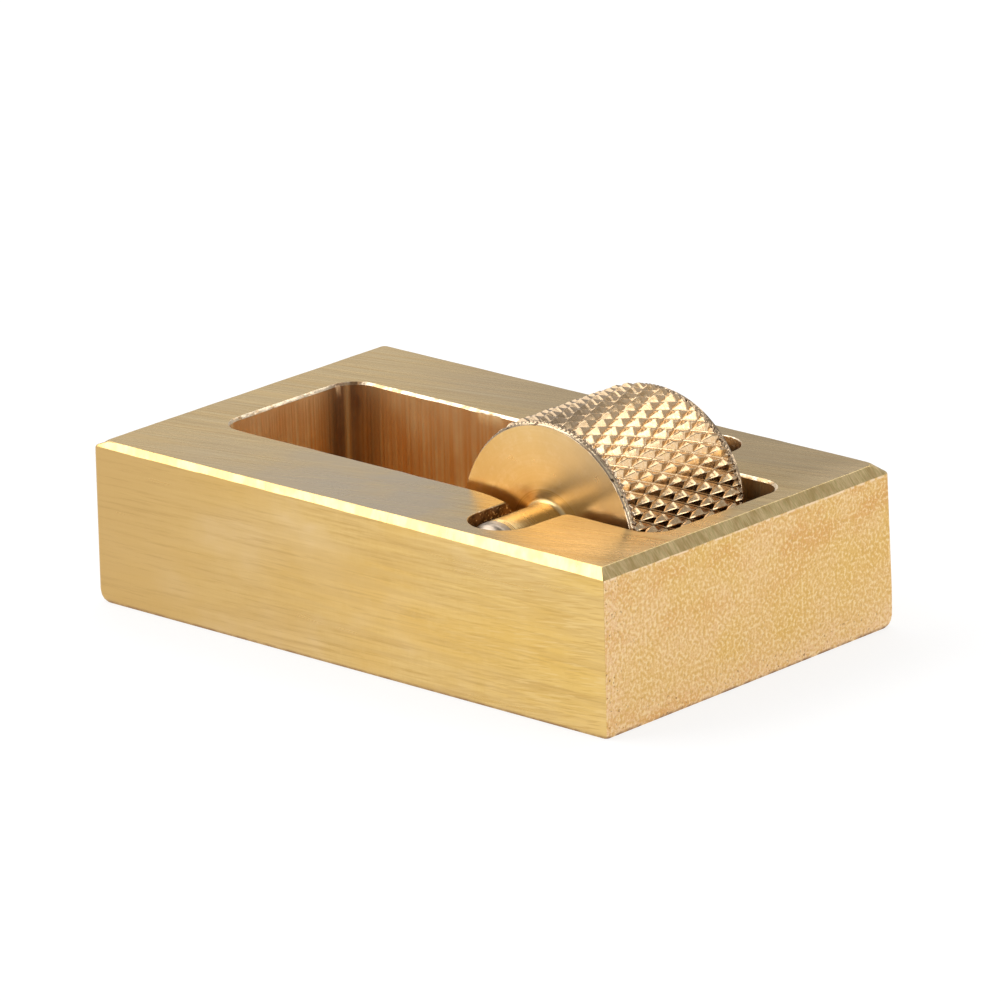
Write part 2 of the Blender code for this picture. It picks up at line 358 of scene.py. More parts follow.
def chamfer_ring(shell, inset_share, inset_extra, drop_share, drop_extra, seed):
    """Add one ring of the chamfer round the top.

    The ring lies `inset_share` of the chamfer plus `inset_extra` in from the sides, and
    `drop_share` of the chamfer plus `drop_extra` below the top. The filed edge wanders.
    """
    points = []
    for x, y in block_outline(UPRIGHT_RADII_AT_TOP):
        inset_more = inset_extra * corner_rubbing(x, y)
        drop_more = drop_extra * corner_rubbing(x, y)
        along_x, along_y = chamfer_widths(x, y)
        on_end = abs(x) / HALF_LENGTH > abs(y) / HALF_WIDTH
        drift = wander(x + y, CHAMFER_WAVE, seed) + 0.5 * wander(x - y, CHAMFER_RIPPLE, seed + 5)
        drift *= CHAMFER_WANDER
        inset_x = inset_share * (along_x + drift) + inset_more
        inset_y = inset_share * (along_y + drift) + inset_more
        drop = drop_share * ((along_x if on_end else along_y) + drift) + drop_more
        ring_x = x * (HALF_LENGTH - inset_x) / HALF_LENGTH
        ring_y = y * (HALF_WIDTH - inset_y) / HALF_WIDTH
        points.append((ring_x, ring_y, BLOCK_TOP - drop))
    return shell.ring(points)


def side_ring(shell, height, inset, corner_radii):
    """Add one ring of the block's sides, at a given height."""
    points = []
    for x, y in block_outline(corner_radii):
        ring_x = x * (HALF_LENGTH - inset) / HALF_LENGTH
        ring_y = y * (HALF_WIDTH - inset) / HALF_WIDTH
        points.append((ring_x, ring_y, height))
    return shell.ring(points)


def looks_by_side(long_look, end_look):
    """Return a look for each quad of an outer ring: the long sides' or the ends'."""
    looks = []
    outline = block_outline(UPRIGHT_RADII)
    for point, following in zip(outline, outline[1:] + outline[:1]):
        run = following - point
        looks.append(long_look if abs(run.x) > abs(run.y) else end_look)
    return looks


def add_outside(shell):
    """Add the base, the sides and the filed chamfers, and return the top's outline."""
    side_looks = looks_by_side(LONG_SIDE, END)
    chamfer_looks = looks_by_side(LONG_CHAMFER, END_CHAMFER)
    ring = None
    for height, share in BASE_DUBBING:
        radii = [radius + more * share for radius, more in zip(UPRIGHT_RADII, BASE_RADII_MORE)]
        ring_above = side_ring(shell, height, BASE_INSET * share ** 3, radii)
        if ring is None:
            shell.fill(ring_above, BASE)
        else:
            shell.bridge(ring, ring_above, side_looks)
        ring = ring_above
    taper_ring = side_ring(shell, UPRIGHT_TAPER_START, 0, UPRIGHT_RADII)
    shell.bridge(ring, taper_ring, side_looks)
    ring = taper_ring

    soft = CHAMFER_EDGE_ROUND
    slant = soft / math.sqrt(2)
    sag = CHAMFER_EDGE_SAG * soft
    chamfer = [
        (0, 0, 1, soft, 1, side_looks),
        (0, sag, 1, sag, 1, side_looks),
        (0, slant, 1, -slant, 1, chamfer_looks),
        (1, -slant, 0, slant, 2, chamfer_looks),
        (1, sag, 0, sag, 2, chamfer_looks),
        (1, soft, 0, 0, 2, chamfer_looks),
    ]
    for *place, looks in chamfer:
        ring_above = chamfer_ring(shell, *place)
        shell.bridge(ring, ring_above, looks)
        ring = ring_above
    return ring


def wall_point(point, outward, rim_break):
    """Return one vertex of the opening's outline.

    It is made of its place on the wall, the way from there to the rim, how far the break
    drops below the top, and how far the rim strays.
    """
    stray = RIM_WANDER * min(1.0, rim_break / RIM_BREAK_POCKET)
    return (point, outward * rim_break, RIM_BREAK_STEEPNESS * rim_break, stray)


def wall_arc(x, y, radius, start, end, steps, rim_break):
    """Return an arc of the opening's wall; a negative radius bulges into the opening."""
    arc = []
    for step in range(steps + 1):
        angle = math.radians(start + (end - start) * step / steps)
        spoke = Vector((math.cos(angle), math.sin(angle)))
        outward = spoke if radius > 0 else -spoke
        arc.append(wall_point(Vector((x, y)) + abs(radius) * spoke, outward, rim_break))
    return arc


def pocket_corner(x, start):
    """Return one of the pocket's near corners, which turns a quarter from an angle in degrees."""
    radius = POCKET_CORNER_RADIUS
    y = radius - POCKET_HALF_WIDTH
    return wall_arc(x, y, radius, start, start + 90, POCKET_CORNER_STEPS, RIM_BREAK_POCKET)


def filed_corner(corner_x, corner_y):
    """Return the left corner of a slot's mouth, where the pocket's rim is filed well back."""
    radius = MOUTH_RADIUS_LEFT
    rim_x = corner_x - RIM_BREAK_SLOT
    rim_y = corner_y - MOUTH_BREAK
    rim_start = Vector((corner_x - radius, rim_y))
    rim_end = Vector((rim_x, rim_y - MOUTH_SLANT))
    corner = []
    for step in range(FILED_CORNER_STEPS + 1):
        share = step / FILED_CORNER_STEPS
        angle = math.pi / 2 * (1 - share)
        x = corner_x - radius + radius * math.cos(angle)
        y = corner_y - radius + radius * math.sin(angle)
        point = Vector((x, y))
        corner.append((point, rim_start.lerp(rim_end, share) - point, MOUTH_DROP, 0.0))

    # The filing fades out along the slot's wall, fast at first
    wall_end = corner_y - MOUTH_FILED_REACH
    lowest_drop = RIM_BREAK_STEEPNESS * RIM_BREAK_SLOT
    for step in range(1, FILED_WALL_STEPS + 1):
        share = step / FILED_WALL_STEPS
        y = corner_y - radius + (wall_end - corner_y + radius) * share
        rim_y = rim_end.y + (wall_end - rim_end.y) * share
        left = max(0.0, 1 - (corner_y - y) / MOUTH_BREAK)
        drop = max(lowest_drop, MOUTH_DROP * (0.35 * left + 0.65 * left * left))
        corner.append((Vector((corner_x, y)), Vector((rim_x - corner_x, rim_y - y)), drop, 0.0))
    return corner


def opening_outline():
    """Return the opening's outline, as made by wall_point, and the spans of its ten arcs.

    The points run anticlockwise along the near side and back along the far side.
    """
    corner = POCKET_CORNER_RADIUS
    near = -POCKET_HALF_WIDTH
    slot_left = AXLE_CENTRE.x - SLOT_LEFT_REACH
    slot_right = AXLE_CENTRE.x + SLOT_RIGHT_REACH
    end_radius = (slot_right - slot_left) / 2
    end_y = -SLOT_HALF_SPAN + end_radius
    mouth = MOUTH_RADIUS_RIGHT
    near_side = [
        pocket_corner(POCKET_LEFT + corner, 180),
        filed_corner(slot_left, near),
        wall_arc(slot_left + end_radius, end_y, end_radius, 180, 360, SLOT_END_STEPS, RIM_BREAK_SLOT),
        wall_arc(slot_right + mouth, near - mouth, -mouth, 180, 90, MOUTH_STEPS, RIM_BREAK_MOUTH_RIGHT),
        pocket_corner(POCKET_RIGHT - corner, 270),
    ]
    mirror = Vector((1.0, -1.0))
    far_side = []
    for arc in reversed(near_side):
        mirrored = [(point * mirror, offset * mirror, *rest) for point, offset, *rest in arc]
        far_side.append(mirrored[::-1])

    outline = []
    parts = []
    for arc in near_side + far_side:
        placed = [(point + Vector((0.0, AXLE_CENTRE.y)), *rest) for point, *rest in arc]
        if outline:
            outline += straight_wall(outline[-1], placed[0])
        first = len(outline)
        outline += placed
        parts.append((first, len(outline)))
    outline += straight_wall(outline[-1], outline[0])
    return outline, parts


def straight_wall(start, end):
    """Return the wall's points between two arcs, about half a millimetre apart.

    On a long wall the rim break differs from the pocket's only near the wall's two ends.
    """
    run = end[0] - start[0]
    length = run.length
    count = max(1, round(length / WALL_STEP))
    outward = Vector((run.y, -run.x)).normalized()
    middle = wall_point(start[0], outward, RIM_BREAK_POCKET)
    wall = []
    for step in range(1, count):
        share = step / count
        if length > 2 * RIM_BREAK_FADE:
            near_start = max(0.0, 1 - share * length / RIM_BREAK_FADE) ** 2
            near_end = max(0.0, 1 - (1 - share) * length / RIM_BREAK_FADE) ** 2
        else:
            near_start = 1 - share
            near_end = share
        in_middle = 1 - near_start - near_end
        offset = near_start * start[1] + near_end * end[1] + in_middle * middle[1]
        drop = near_start * start[2] + near_end * end[2] + in_middle * middle[2]
        stray = near_start * start[3] + near_end * end[3] + in_middle * middle[3]
        wall.append((start[0].lerp(end[0], share), offset, drop, stray))
    return wall


def opening_ring(shell, outline, height, break_share, more):
    """Add one ring of the opening, widened by a share of its uneven rim break."""
    points = []
    for point, offset, _, stray in outline:
        strays = wander(point.x - point.y, RIM_WAVE, 11) + 0.6 * wander(point.x + point.y, RIM_RIPPLE, 12)
        widened = point + break_share * offset + offset.normalized() * (break_share * stray * strays + more)
        points.append((widened.x, widened.y, height))
    return shell.ring(points)


def add_opening(shell):
    """Add the pocket and the two slots, and return the outline of their rim."""
    outline, parts = opening_outline()
    rim = opening_ring(shell, outline, BLOCK_TOP, 1, RIM_ROUND)
    rim_inner = opening_ring(shell, outline, BLOCK_TOP - 0.4 * RIM_ROUND, 1, 0)
    break_foot = opening_break_foot(shell, outline)
    wall_head = opening_ring(shell, outline, BLOCK_TOP - WALL_HEAD_DROP, 0, 0)
    wall_foot = opening_ring(shell, outline, SLOT_FLOOR, 0, 0)
    # Each slot is three arcs: a corner of its mouth, its round end and the other corner
    slots = [(parts[first][0], parts[first + 2][1]) for first in (1, 6)]
    slot_quads = [(start, end - 1) for start, end in slots]
    wall_looks = [SLOT_WALL if in_spans(index, slot_quads) else WALL for index in range(len(outline))]
    shell.bridge(rim_inner, rim, RIM)
    shell.bridge(break_foot, rim_inner, RIM)
    shell.bridge(wall_head, break_foot, wall_looks)
    shell.bridge(wall_foot, wall_head, wall_looks)

    for start, end in slots:
        shell.fill(wall_foot[start:end], FLOOR)

    inside_slots = [(start + 1, end - 1) for start, end in slots]
    pocket = [vertex for index, vertex in enumerate(wall_foot) if not in_spans(index, inside_slots)]
    add_pocket_floor(shell, pocket)
    return rim


def in_spans(index, spans):
    """Return whether an index lies in one of the spans (first, one past the last)."""
    return any(first <= index < end for first, end in spans)


def opening_break_foot(shell, outline):
    """Add the ring where the uneven rim break meets the wall."""
    points = []
    for point, offset, drop, stray in outline:
        strays = wander(point.x + 0.5 * point.y, RIM_FOOT_WAVE, 21)
        widened = point + offset.normalized() * RIM_ROUND
        height = BLOCK_TOP - drop - RIM_BREAK_STEEPNESS * stray * strays - RIM_ROUND
        points.append((widened.x, widened.y, height))
    return shell.ring(points)


def add_pocket_floor(shell, wall_ring):
    """Add the pocket's walls below the slots, the round at their foot and the floor."""
    centre_x = (POCKET_LEFT + POCKET_RIGHT) / 2
    straight_x = (POCKET_RIGHT - POCKET_LEFT) / 2 - POCKET_CORNER_RADIUS
    straight_y = POCKET_HALF_WIDTH - POCKET_CORNER_RADIUS
    ring = wall_ring
    for step in range(POCKET_FLOOR_STEPS + 1):
        angle = math.pi / 2 * step / POCKET_FLOOR_STEPS
        inset = POCKET_FLOOR_ROUND * (1 - math.cos(angle))
        height = POCKET_FLOOR + POCKET_FLOOR_ROUND * (1 - math.sin(angle))
        points = []
        for vertex in wall_ring:
            x, y, _ = shell.vertices[vertex]
            core_x = max(-straight_x, min(straight_x, x - centre_x)) + centre_x
            core_y = max(-straight_y, min(straight_y, y - AXLE_CENTRE.y)) + AXLE_CENTRE.y
            outward = Vector((x - core_x, y - core_y))
            kept = outward * (1 - inset / outward.length)
            points.append((core_x + kept.x, core_y + kept.y, height))
        ring_below = shell.ring(points)
        shell.bridge(ring_below, ring, WALL if step == 0 else FLOOR)
        ring = ring_below
    shell.fill(ring, FLOOR)


def make_tray_block(materials):
    """Make the tray block in place of its CAD node."""
    shell = Shell()
    shell.flat_looks = (TOP, BASE)
    top_outline = add_outside(shell)
    rim = add_opening(shell)
    shell.fill(top_outline, TOP, holes=(rim,))
    piece = shell.make_object("brass_tray_block", materials, BLOCK_SMOOTH_ANGLE)
    weight_normals(piece)
    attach(piece, "tray")
    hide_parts("tray_block")
    return piece


# ---------------------------------------------------------------- roller's shape

KNURL, BEVEL, FACE, AXLE, TIP = range(5)


def turned_ring(shell, along, radii):
    """Add a ring about the axle, one vertex for each radius."""
    points = []
    for index, radius in enumerate(radii):
        angle = 2 * math.pi * index / len(radii)
        offset = Vector((radius * math.sin(angle), along, radius * math.cos(angle)))
        points.append(tuple(AXLE_CENTRE + offset))
    return shell.ring(points)


def share_to_crest(value):
    """Return 0 in the middle of a groove, at each whole number, and 1 midway between two."""
    return 1 - abs(2 * (value - math.floor(value)) - 1)


def knurl_height(turns, along):
    """Return the knurl's height, 0 in a groove and 1 on a crest, at a place on the wheel.

    A fine ridge runs along the middle of each of the more level grooves.
    """
    around = turns * KNURLS_AROUND + 0.5
    shift = along / (2 * KNURL_HALF_PITCH)
    steep = share_to_crest(around + shift)
    level = share_to_crest(around - shift)
    steep_height = (steep - STEEP_GROOVE_BOTTOM) / (STEEP_CREST_START - STEEP_GROOVE_BOTTOM)
    level_height = (level - LEVEL_GROOVE_BOTTOM) / (LEVEL_CREST_START - LEVEL_GROOVE_BOTTOM)
    height = min(steep_height, level_height)
    pyramid = Vector((math.floor(around + shift), math.floor(around - shift), 3.7))
    unevenness = KNURL_UNEVENNESS * noise.noise(pyramid * 1.37)
    ridge = LEVEL_GROOVE_RIDGE * max(0.0, 1 - KNURL_STEPS * level)
    return max(ridge, min(1.0, height)) * (KNURL_TOP + unevenness)


def knurled_radius(turns, along, edge):
    """Return the wheel's radius: the knurl, cut off near each face by a ringed bevel."""
    height = knurl_height(turns, along)
    beyond = (abs(along) - edge) / BEVEL_AXIAL
    if beyond <= 0:
        return WHEEL_RADIUS - KNURL_DEPTH * (1 - height)
    angle = 2 * math.pi * turns
    around = Vector((math.cos(angle), math.sin(angle), 0.0))
    bevel = WHEEL_RADIUS - BEVEL_RADIAL * beyond
    bevel -= bevel_line(beyond, around) + bevel_tooth(turns, beyond, around)
    ragged = noise.noise(9 * around + Vector((0.0, 0.0, 2 * beyond)))
    fading = max(0.06, min(1.0, 1.35 - 1.5 * beyond)) * (1 + 0.4 * ragged)
    return min(bevel, WHEEL_RADIUS - KNURL_DEPTH * fading * (1 - height))


def bevel_line(beyond, around):
    """Return the depth of the bevel's turned lines, which are unevenly spaced and worn.

    `beyond` runs from 0 at the knurl to 1 at the face; `around` points out of the axle.
    """
    shifted = beyond + 0.05 * noise.noise(4 * around) + 0.05 * noise.noise(Vector((5 * beyond, 3.3, 1.7)))
    wave = 0.5 - 0.5 * math.cos(2 * math.pi * BEVEL_LINES * shifted)
    worn = 0.75 + 0.7 * noise.noise(7 * around + Vector((3.1, 0.0, 3 * beyond)))
    return BEVEL_LINE_DEPTH * worn * wave * min(1.0, 4 * beyond)


def bevel_tooth(turns, beyond, around):
    """Return the depth of the fine teeth that the knurling wheel bit into the bevel's crown."""
    tooth = share_to_crest(turns * KNURLS_AROUND * TEETH_PER_KNURL + 1.2 * beyond)
    angle = 2 * math.pi * turns
    tracked = max(0.0, 0.35 + 0.65 * math.cos(angle - 0.2) + 0.5 * noise.noise(3 * around))
    return TOOTH_DEPTH * tracked * tooth * min(1.0, 6 * beyond) * max(0.0, 1 - 1.25 * beyond)


def add_knurl(shell):
    """Add the knurled surface with the bevels at its two ends, and return its end rings."""
    columns = 2 * KNURLS_AROUND * KNURL_STEPS
    edge = WHEEL_HALF_WIDTH - BEVEL_AXIAL
    row_step = KNURL_HALF_PITCH / KNURL_STEPS
    row_count = int(edge / row_step)
    inner_rows = [row * row_step for row in range(-row_count, row_count + 1)]
    bevel_rows = [edge + BEVEL_AXIAL * row / BEVEL_ROWS for row in range(BEVEL_ROWS + 1)]
    rows = [-along for along in reversed(bevel_rows)] + inner_rows + bevel_rows
    rings = []
    for along in rows:
        radii = [knurled_radius(column / columns, along, edge) for column in range(columns)]
        rings.append((turned_ring(shell, along, radii), radii))
    for index, (lower, upper) in enumerate(zip(rings, rings[1:])):
        on_bevel = index < BEVEL_ROWS or index >= len(rings) - 1 - BEVEL_ROWS
        shell.bridge_folded(lower[0], upper[0], BEVEL if on_bevel else KNURL, lower[1], upper[1])
    return rings[0][0], rings[-1][0]


def face_profile():
    """Return (distance from the wheel's middle, radius) from the bevel to the axle."""
    face = WHEEL_HALF_WIDTH
    profile = [(face, WHEEL_RADIUS - BEVEL_RADIAL - FACE_EDGE_BREAK)]
    profile += [(face - depth, radius) for depth, radius in FACE_STEPS]
    for step in range(HUB_STEPS + 1):
        angle = math.pi / 2 * step / HUB_STEPS
        along = face - HUB_DEPTH + (ROOT_FILLET + HUB_DEPTH) * (1 - math.cos(angle))
        radius = AXLE_RADIUS + ROOT_FILLET * (1 - math.sin(angle))
        profile.append((along, radius))
    return profile


def axle_profile():
    """Return (distance from the wheel's middle, radius, look) from the fillet to the tip."""
    profile = [(WHEEL_HALF_WIDTH + reach, AXLE_RADIUS, AXLE) for reach in AXLE_RING_REACHES]
    for line in range(TIP_LINES):
        along = WHEEL_HALF_WIDTH + TIP_LINES_START + line * TIP_LINE_PITCH
        look = AXLE if line < TIP_LINES // 2 else TIP
        for step, depth in TIP_LINE_SHAPE:
            profile.append((along + step * TIP_LINE_PITCH, AXLE_RADIUS - depth * TIP_LINE_DEPTH, look))
    dome_start = AXLE_HALF_SPAN - DOME_LENGTH
    for step in range(DOME_STEPS + 1):
        turn = math.pi / 2 * step / DOME_STEPS
        radius = TIP_FLAT_RADIUS + (AXLE_RADIUS - TIP_FLAT_RADIUS) * math.cos(turn)
        along = dome_start + DOME_LENGTH * math.sin(turn)
        profile.append((along, radius, TIP))
    return profile


def add_wheel_end(shell, bevel_ring, side):
    """Close one end of the roller: face, fillet, stub axle and domed tip."""
    (along, radius), *inner_profile = face_profile()
    edge = turned_ring(shell, side * along, [radius] * len(bevel_ring))
    shell.bridge(bevel_ring, edge, BEVEL)
    inner = [turned_ring(shell, side * along, [radius] * AXLE_STEPS) for along, radius in inner_profile]
    join_uneven(shell, edge, inner[0], FACE)
    for ring, next_ring in zip(inner, inner[1:]):
        shell.bridge(ring, next_ring, FACE)
    ring = inner[-1]
    for along, radius, look in axle_profile():
        next_ring = turned_ring(shell, side * along, [radius] * AXLE_STEPS)
        shell.bridge(ring, next_ring, look)
        ring = next_ring
    shell.fill(ring, TIP)


def join_uneven(shell, ring, next_ring, look):
    """Join two rings about the axle that have different numbers of vertices."""
    count, next_count = len(ring), len(next_ring)
    index = 0
    next_index = 0
    while index < count or next_index < next_count:
        share = (index + 1) / count
        next_share = (next_index + 1) / next_count
        here, beyond = ring[index % count], next_ring[next_index % next_count]
        if share <= next_share and index < count:
            shell.face((here, ring[(index + 1) % count], beyond), look)
            index += 1
        else:
            shell.face((here, next_ring[(next_index + 1) % next_count], beyond), look)
            next_index += 1


def make_roller(materials):
    """Make the knurled roller in place of its CAD node."""
    shell = Shell()
    near_ring, far_ring = add_knurl(shell)
    add_wheel_end(shell, near_ring, -1)
    add_wheel_end(shell, far_ring, 1)
    piece = shell.make_object("brass_knurled_roller", materials, ROLLER_SMOOTH_ANGLE)
    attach(piece, "roller")
    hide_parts("knurled_roller")
    return piece


# ---------------------------------------------------------------- brass materials


class Look:
    """One brass material, with short calls for the nodes that shape its pattern.

    Places are in millimetres, in the object's own coordinates.
    """

    def __init__(self, name, roughness, anisotropy=0.0):
        self.material = bpy.data.materials.new(name)
        self.material.use_nodes = True
        self.tree = self.material.node_tree
        self.shader = self.tree.nodes["Principled BSDF"]
        self.shader.inputs["Metallic"].default_value = 1.0
        self.shader.inputs["Roughness"].default_value = roughness
        self.shader.inputs["Anisotropic"].default_value = anisotropy
        coordinates = self.tree.nodes.new("ShaderNodeTexCoord")
        self.position = self.vector("MULTIPLY", coordinates.outputs["Object"], (1 / MM,) * 3)
        self.colour = None

    def put(self, socket, value):
        """Link an output into a socket, or set the socket's own value."""
        if isinstance(value, bpy.types.NodeSocket):
            self.tree.links.new(value, socket)
        else:
            socket.default_value = value

    def vector(self, operation, first, second=(0.0, 0.0, 0.0)):
        """Return first OPERATION second, on vectors."""
        node = self.tree.nodes.new("ShaderNodeVectorMath")
        node.operation = operation
        self.put(node.inputs[0], first)
        self.put(node.inputs[1], second)
        return node.outputs["Value" if operation in ("LENGTH", "DOT_PRODUCT") else "Vector"]

    def number(self, operation, first, second=0.0):
        """Return first OPERATION second, on numbers."""
        node = self.tree.nodes.new("ShaderNodeMath")
        node.operation = operation
        self.put(node.inputs[0], first)
        self.put(node.inputs[1], second)
        return node.outputs[0]

    def parts(self, place=None):
        """Return the X, Y and Z of a place."""
        node = self.tree.nodes.new("ShaderNodeSeparateXYZ")
        self.put(node.inputs[0], place or self.position)
        return node.outputs

    def joined(self, x, y, z=0.0):
        """Return a place made of three numbers."""
        node = self.tree.nodes.new("ShaderNodeCombineXYZ")
        for socket, value in zip(node.inputs, (x, y, z)):
            self.put(socket, value)
        return node.outputs[0]

    def turned(self, axis, angle):
        """Return the position turned about an axis, by an angle in degrees."""
        node = self.tree.nodes.new("ShaderNodeVectorRotate")
        node.rotation_type = axis + "_AXIS"
        self.put(node.inputs["Vector"], self.position)
        node.inputs["Angle"].default_value = math.radians(angle)
        return node.outputs[0]

    def noise(self, scale, detail=2.0, roughness=0.5, place=None, seed=0.0):
        """Return a noise value around 0.5. `scale` is in features per millimetre along X, Y, Z."""
        scale = (scale,) * 3 if isinstance(scale, (int, float)) else scale
        scaled = self.vector("MULTIPLY", place or self.position, scale)
        moved = self.vector("ADD", scaled, (seed * 17.3, seed * 5.9, seed * 11.1))
        node = self.tree.nodes.new("ShaderNodeTexNoise")
        self.put(node.inputs["Vector"], moved)
        node.inputs["Scale"].default_value = 1.0
        node.inputs["Detail"].default_value = detail
        node.inputs["Roughness"].default_value = roughness
        return node.outputs[0]

    def spread(self, value, low, high, to_low=0.0, to_high=1.0):
        """Map a range of values to another, held at its ends."""
        node = self.tree.nodes.new("ShaderNodeMapRange")
        self.put(node.inputs["Value"], value)
        for name, limit in (("From Min", low), ("From Max", high), ("To Min", to_low), ("To Max", to_high)):
            node.inputs[name].default_value = limit
        return node.outputs["Result"]

    def offset(self, point):
        """Return the place measured from a point given in millimetres."""
        return self.vector("SUBTRACT", self.position, tuple(point))

    def distance(self, point):
        """Return the distance from a point given in millimetres."""
        return self.vector("LENGTH", self.offset(point))

    def both(self, first, second):
        """Return the product of two shares."""
        return self.number("MULTIPLY", first, second)

    def blend(self, share, first, second):
        """Return a colour between two, by a share from 0 to 1."""
        node = self.tree.nodes.new("ShaderNodeMix")
        node.data_type = "RGBA"
        self.put(node.inputs[0], share)
        for socket, colour in ((node.inputs[6], first), (node.inputs[7], second)):
            self.put(socket, colour if isinstance(colour, bpy.types.NodeSocket) else (*colour, 1.0))
        return node.outputs[2]

    def tint(self, share, colour):
        """Lay a colour over the pattern so far, by a share from 0 to 1."""
        self.colour = self.blend(share, self.colour, colour)

    def bump(self, height, depth, below=None):
        """Return a normal for a height from 0 to 1 that stands `depth` metres high."""
        node = self.tree.nodes.new("ShaderNodeBump")
        node.inputs["Strength"].default_value = 1.0
        node.inputs["Distance"].default_value = depth
        self.put(node.inputs["Height"], height)
        if below is not None:
            self.put(node.inputs["Normal"], below)
        return node.outputs["Normal"]

    def brushed_along(self, axis):
        """Stretch the gloss across the brushing, which runs along a world axis."""
        geometry = self.tree.nodes.new("ShaderNodeNewGeometry")
        across = self.vector("CROSS_PRODUCT", geometry.outputs["Normal"], axis)
        self.put(self.shader.inputs["Tangent"], across)

    def stretch_gloss(self, direction):
        """Stretch the gloss along a direction given in the object's own coordinates."""
        node = self.tree.nodes.new("ShaderNodeVectorTransform")
        node.vector_type = "VECTOR"
        node.convert_from = "OBJECT"
        node.convert_to = "WORLD"
        self.put(node.inputs[0], direction)
        self.put(self.shader.inputs["Tangent"], node.outputs[0])

    def finish(self, roughness, normal):
        """Link what the pattern drives, and return the material."""
        self.put(self.shader.inputs["Base Color"], self.colour)
        self.put(self.shader.inputs["Roughness"], roughness)
        self.put(self.shader.inputs["Normal"], normal)
        return self.material


# Colours of the brass, of the film and swarf on it, and of painted highlights, reflections and shade
BRASS = (0.71, 0.47, 0.175)
BRASS_DEEP = (0.60, 0.37, 0.11)
BRASS_PALE = (0.82, 0.60, 0.28)
BRASS_FILMED = (0.52, 0.415, 0.28)
BRASS_GOLD = (0.74, 0.47, 0.13)
BRASS_GREEN = (0.66, 0.51, 0.22)
BRASS_PINK = (0.84, 0.56, 0.33)
BRASS_DEEP_ORANGE = (0.62, 0.35, 0.13)
BRASS_ROSE = (0.80, 0.50, 0.235)
BRASS_ROSE_PALE = (0.92, 0.70, 0.45)
BRASS_TURNED = (0.73, 0.48, 0.18)
BRASS_TURNED_PALE = (0.80, 0.56, 0.27)
BRASS_GREY_FILM_AND_SHADE = (0.55, 0.415, 0.26)
BRASS_DULL = (0.56, 0.36, 0.12)
BRASS_DULL_PALE = (0.75, 0.56, 0.27)
BRASS_SIDE = (0.65, 0.42, 0.135)
BRASS_SIDE_PALE = (0.81, 0.575, 0.235)
BRASS_CREAM = (0.85, 0.64, 0.36)
BRASS_SIDE_LEFT = (0.575, 0.37, 0.14)
BRASS_SIDE_RIGHT = (0.80, 0.53, 0.13)
BRASS_SIDE_STREAK = (0.50, 0.32, 0.12)
BRASS_BRIGHT = (0.92, 0.68, 0.37)
BRASS_WALL = (0.91, 0.55, 0.20)
BRASS_WALL_PALE = (1.0, 0.79, 0.43)
BRASS_WALL_LIT = (0.97, 0.70, 0.38)
BRASS_GRAIN_DEEP = (0.68, 0.42, 0.12)
BRASS_GRAIN_PALE = (0.90, 0.68, 0.36)
BRASS_STAIN = (0.70, 0.36, 0.11)
BEVEL_LINE_HIGHLIGHT = (0.94, 0.76, 0.52)
KNURL_SHADE = (0.51, 0.375, 0.24)
BEVEL_LINE_SHADE = (0.42, 0.30, 0.205)
BRASS_RIM = (0.66, 0.43, 0.22)
BRASS_RIM_PALE = (0.95, 0.78, 0.56)
BRASS_AXLE = (0.70, 0.48, 0.20)
BRASS_AXLE_PALE = (0.80, 0.57, 0.28)
BRASS_UMBER = (0.36, 0.22, 0.13)
SWARF_GREY = (0.30, 0.24, 0.18)
SWARF_PALE = (0.56, 0.46, 0.36)
TARNISH_AND_FOOT_SHADE = (0.30, 0.16, 0.07)
NICK_AND_SHADE_DARK = (0.10, 0.055, 0.03)
SHADE_BROWN = (0.24, 0.13, 0.065)


def brushed_top():
    """The top, rubbed nearly along its length, with a grey film about its near middle and a painted
    reflection of the wheel, bright gold, near its right-near corner.
    """
    look = Look("brushed_top", 0.26, 0.55)
    look.brushed_along((1.0, 0.0, 0.0))
    slanting = look.turned("Z", -13.0)
    fine = look.noise((0.06, 3.4, 3.4), 4.0, 0.65, slanting)
    broad = look.noise((0.03, 0.9, 0.9), 3.0, 0.6, slanting, seed=2)
    scratches = look.noise((0.16, 8.0, 8.0), 1.0, 0.5, look.turned("Z", -24.0), seed=3)
    waves = look.noise((0.09, 1.25, 1.25), 3.0, 0.6, look.turned("Z", -30.0), seed=9)
    clouds = look.noise(0.11, 3.0, 0.55, seed=4)
    film = look.spread(look.distance(FILM_CENTRE), 6.0, 26.0, 0.9, 0.0)
    film = look.both(film, look.spread(clouds, 0.25, 0.55))
    from_reflection = look.distance(REFLECTION_CENTRE)
    look.colour = look.blend(look.spread(fine, 0.34, 0.66), BRASS_DULL, BRASS_DULL_PALE)
    look.tint(look.spread(broad, 0.35, 0.65, 0.0, 0.35), BRASS)
    look.tint(film, BRASS_FILMED)
    along, across, _ = look.parts()
    far_film = look.both(look.spread(across, 8.0, 13.0, 0.0, 0.4), look.spread(along, -23.0, -14.0))
    look.tint(far_film, BRASS_GREY_FILM_AND_SHADE)
    # Painted reflection of the wheel: brighter gold near the right-near corner, joined by a paler strip
    # along the right end
    right_strip = look.spread(along, 25.5, 29.0, 0.0, 0.55)
    reflection_and_strip = look.number("MAXIMUM", look.spread(from_reflection, 8.0, 2.0, 0.0, 0.6), right_strip)
    look.tint(look.both(reflection_and_strip, look.spread(waves, 0.4, 0.6, 0.4, 1.0)), BRASS_BRIGHT)
    look.tint(look.spread(scratches, 0.66, 0.72, 0.0, 0.5), BRASS_PALE)
    roughness = look.spread(broad, 0.3, 0.7, 0.22, 0.32)
    normal = look.bump(look.both(fine, look.spread(film, 0.0, 0.6, 1.0, 0.5)), 0.007 * MM)
    normal = look.bump(look.both(waves, look.spread(from_reflection, 12.0, 6.0)), 0.02 * MM, normal)
    return look.finish(roughness, look.bump(scratches, 0.004 * MM, normal))


